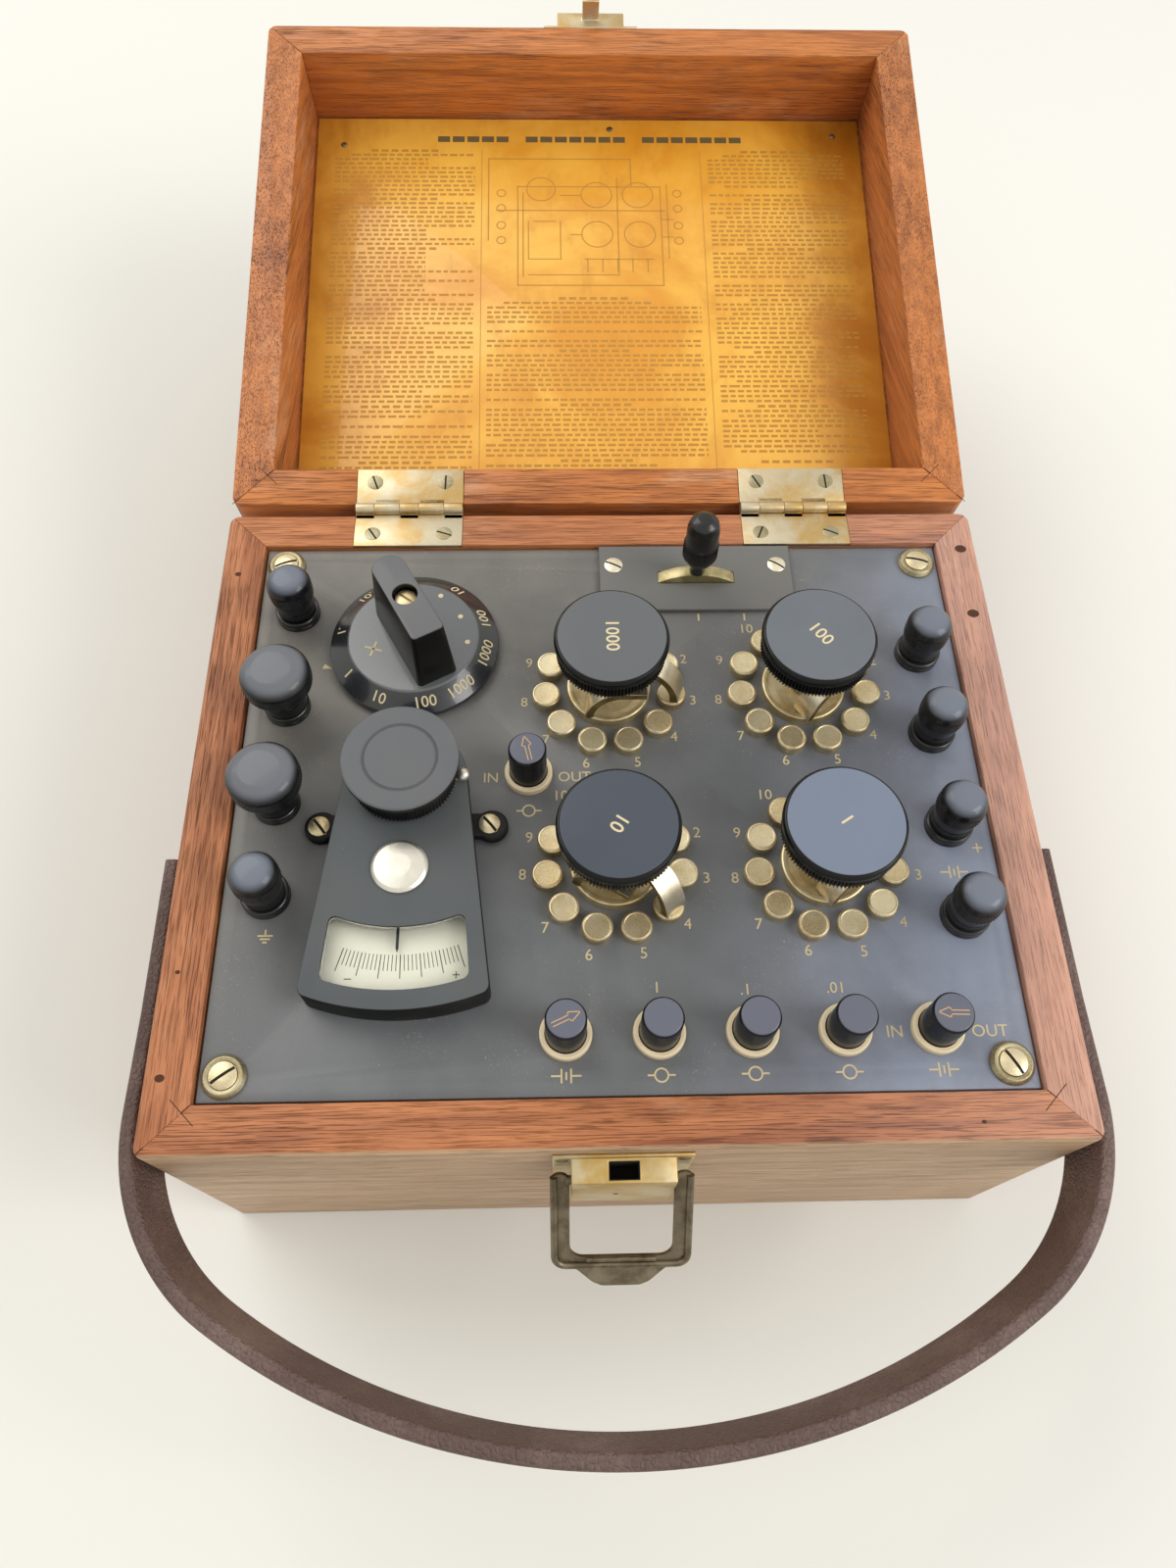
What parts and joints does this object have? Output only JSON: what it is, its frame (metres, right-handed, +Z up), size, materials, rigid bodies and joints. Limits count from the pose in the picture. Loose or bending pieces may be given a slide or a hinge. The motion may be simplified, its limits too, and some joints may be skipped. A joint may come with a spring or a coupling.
{
  "type": "wheatstone bridge",
  "caption": "Portable resistance-testing bridge in a hinged wooden case with decade switches, a ratio dial, a galvanometer, keys, binding posts and a carrying strap.",
  "frame": {"origin": "centre of the underside of the case", "axes": "+Z up, +X to the right of someone facing the latch, +Y back towards the hinges"},
  "size_m": [0.2532, 0.4658, 0.1471],
  "materials": {
    "case_wood": "old varnished hardwood, orange-brown with dark grain",
    "panel_rubber": "matte, dusty black hard rubber",
    "hard_rubber": "polished black hard rubber",
    "contact_brass": "worn, dull brass",
    "worn_nickel": "nickel plate worn through to brass",
    "bail_steel": "dull grey steel",
    "strap_leather": "dark brown, stiff, worn",
    "card": "paper under amber varnish",
    "window_glass": "clear",
    "scale_white": "white enamel",
    "pointer_metal": "blackened needle",
    "magnet_steel": "dark magnet steel",
    "spool_wire": "silk-covered wire, shellacked",
    "cell_jacket": "card jacket"
  },
  "bodies": {
    "case": {"case_ends": "case_wood", "case_sides": "case_wood", "case_bottom": "case_wood", "panel": "panel_rubber", "panel_blocks": "case_wood", "panel_screws": "worn_nickel", "decade_contacts": "contact_brass", "resistance_spools": "spool_wire", "post_studs": "contact_brass", "key_collars": "contact_brass", "key_blades": "contact_brass", "hinge_case_leaves": "worn_nickel", "latch_lock": "worn_nickel", "strap_pivots": "worn_nickel", "selector_plate": "worn_nickel", "selector_bracket": "contact_brass", "galvanometer_case": "hard_rubber", "galvanometer_window": "window_glass", "galvanometer_scale": "scale_white", "galvanometer_button": "worn_nickel", "galvanometer_magnet": "magnet_steel", "battery_cells": "cell_jacket"},
    "lid": {"lid_ends": "case_wood", "lid_sides": "case_wood", "lid_top": "case_wood", "lid_card": "card", "hinge_lid_leaves": "worn_nickel", "lid_catch": "worn_nickel"},
    "thousands_switch": {"thousands_knob": "hard_rubber", "thousands_brush": "contact_brass"},
    "hundreds_switch": {"hundreds_knob": "hard_rubber", "hundreds_brush": "contact_brass"},
    "tens_switch": {"tens_knob": "hard_rubber", "tens_brush": "contact_brass"},
    "units_switch": {"units_knob": "hard_rubber", "units_brush": "contact_brass"},
    "ratio_switch": {"ratio_dial": "hard_rubber", "ratio_spindle": "contact_brass"},
    "selector": {"selector_lever": "hard_rubber", "selector_sector": "contact_brass"},
    "battery_key": {"battery_key": "hard_rubber"},
    "key_1": {"key_1": "hard_rubber"},
    "key_tenth": {"key_tenth": "hard_rubber"},
    "key_hundredth": {"key_hundredth": "hard_rubber"},
    "battery_switch": {"battery_switch": "hard_rubber"},
    "galvanometer_switch": {"galvanometer_switch": "hard_rubber"},
    "post_left_1": {"post_left_1": "hard_rubber"},
    "post_left_2": {"post_left_2": "hard_rubber"},
    "post_left_3": {"post_left_3": "hard_rubber"},
    "post_left_4": {"post_left_4": "hard_rubber"},
    "post_right_1": {"post_right_1": "hard_rubber"},
    "post_right_2": {"post_right_2": "hard_rubber"},
    "post_right_3": {"post_right_3": "hard_rubber"},
    "post_right_4": {"post_right_4": "hard_rubber"},
    "latch_bail": {"latch_bail": "bail_steel"},
    "strap": {"strap": "strap_leather"},
    "galvanometer_pointer": {"galvanometer_pointer": "pointer_metal"},
    "zero_adjuster": {"zero_adjuster": "hard_rubber"},
    "clamp_lever": {"clamp_lever": "contact_brass"}
  },
  "joints": [
    {"name": "lid_hinge", "type": "hinge", "parent": "case", "child": "lid", "pos_m": [0, 0.1, 0.1002], "axis": [1, 0, 0], "range_deg": [0, 168.7]},
    {"name": "thousands_turn", "type": "hinge", "parent": "case", "child": "thousands_switch", "pos_m": [0, 0.0324, 0.0985], "axis": [0, 0, 1], "range_deg": [-229.09, 98.18]},
    {"name": "hundreds_turn", "type": "hinge", "parent": "case", "child": "hundreds_switch", "pos_m": [0.057, 0.0324, 0.0985], "axis": [0, 0, 1], "range_deg": [-261.82, 65.45]},
    {"name": "tens_turn", "type": "hinge", "parent": "case", "child": "tens_switch", "pos_m": [0, -0.024, 0.0985], "axis": [0, 0, 1], "range_deg": [-196.36, 130.91]},
    {"name": "units_turn", "type": "hinge", "parent": "case", "child": "units_switch", "pos_m": [0.057, -0.024, 0.0985], "axis": [0, 0, 1], "range_deg": [-261.82, 65.45]},
    {"name": "ratio_turn", "type": "hinge", "parent": "case", "child": "ratio_switch", "pos_m": [-0.057, 0.0478, 0.0985], "axis": [0, 0, 1], "range_deg": [-216, 108]},
    {"name": "selector_swing", "type": "hinge", "parent": "case", "child": "selector", "pos_m": [0.0283, 0.0727, 0.0824], "axis": [0, 1, 0], "range_deg": [-22, 22]},
    {"name": "battery_key_press", "type": "slide", "parent": "case", "child": "battery_key", "axis": [0, 0, -1], "range_m": [0, 0.0025], "stiffness_N_per_m": 300, "springref_m": -0.002},
    {"name": "key_1_press", "type": "slide", "parent": "case", "child": "key_1", "axis": [0, 0, -1], "range_m": [0, 0.0025], "stiffness_N_per_m": 300, "springref_m": -0.002},
    {"name": "key_tenth_press", "type": "slide", "parent": "case", "child": "key_tenth", "axis": [0, 0, -1], "range_m": [0, 0.0025], "stiffness_N_per_m": 300, "springref_m": -0.002},
    {"name": "key_hundredth_press", "type": "slide", "parent": "case", "child": "key_hundredth", "axis": [0, 0, -1], "range_m": [0, 0.0025], "stiffness_N_per_m": 300, "springref_m": -0.002},
    {"name": "battery_switch_turn", "type": "hinge", "parent": "case", "child": "battery_switch", "pos_m": [0.0806, -0.0695, 0.0985], "axis": [0, 0, 1], "range_deg": [-180, 0]},
    {"name": "galvanometer_switch_turn", "type": "hinge", "parent": "case", "child": "galvanometer_switch", "pos_m": [-0.0233, 0.0051, 0.0985], "axis": [0, 0, 1], "range_deg": [-90, 90]},
    {"name": "post_left_1_lift", "type": "slide", "parent": "case", "child": "post_left_1", "axis": [0, 0, 1], "range_m": [0, 0.004]},
    {"name": "post_left_2_lift", "type": "slide", "parent": "case", "child": "post_left_2", "axis": [0, 0, 1], "range_m": [0, 0.004]},
    {"name": "post_left_3_lift", "type": "slide", "parent": "case", "child": "post_left_3", "axis": [0, 0, 1], "range_m": [0, 0.004]},
    {"name": "post_left_4_lift", "type": "slide", "parent": "case", "child": "post_left_4", "axis": [0, 0, 1], "range_m": [0, 0.004]},
    {"name": "post_right_1_lift", "type": "slide", "parent": "case", "child": "post_right_1", "axis": [0, 0, 1], "range_m": [0, 0.004]},
    {"name": "post_right_2_lift", "type": "slide", "parent": "case", "child": "post_right_2", "axis": [0, 0, 1], "range_m": [0, 0.004]},
    {"name": "post_right_3_lift", "type": "slide", "parent": "case", "child": "post_right_3", "axis": [0, 0, 1], "range_m": [0, 0.004]},
    {"name": "post_right_4_lift", "type": "slide", "parent": "case", "child": "post_right_4", "axis": [0, 0, 1], "range_m": [0, 0.004]},
    {"name": "bail_swing", "type": "hinge", "parent": "case", "child": "latch_bail", "pos_m": [0, -0.102, 0.082], "axis": [-1, 0, 0], "range_deg": [0, 139]},
    {"name": "strap_swing", "type": "hinge", "parent": "case", "child": "strap", "pos_m": [0, -0.028, 0.08], "axis": [-1, 0, 0], "range_deg": [-10, 95]},
    {"name": "pointer_swing", "type": "hinge", "parent": "case", "child": "galvanometer_pointer", "pos_m": [-0.0565, -0.001, 0.0985], "axis": [0, 0, 1], "range_deg": [-17, 17], "stiffness_Nm_per_rad": 0.00002},
    {"name": "zero_turn", "type": "hinge", "parent": "case", "child": "zero_adjuster", "pos_m": [-0.0565, -0.001, 0.0985], "axis": [0, 0, 1], "range_deg": [-60, 60]},
    {"name": "clamp_swing", "type": "hinge", "parent": "case", "child": "clamp_lever", "pos_m": [-0.0565, -0.001, 0.0985], "axis": [0, 0, 1], "range_deg": [-45, 0]}
  ]
}
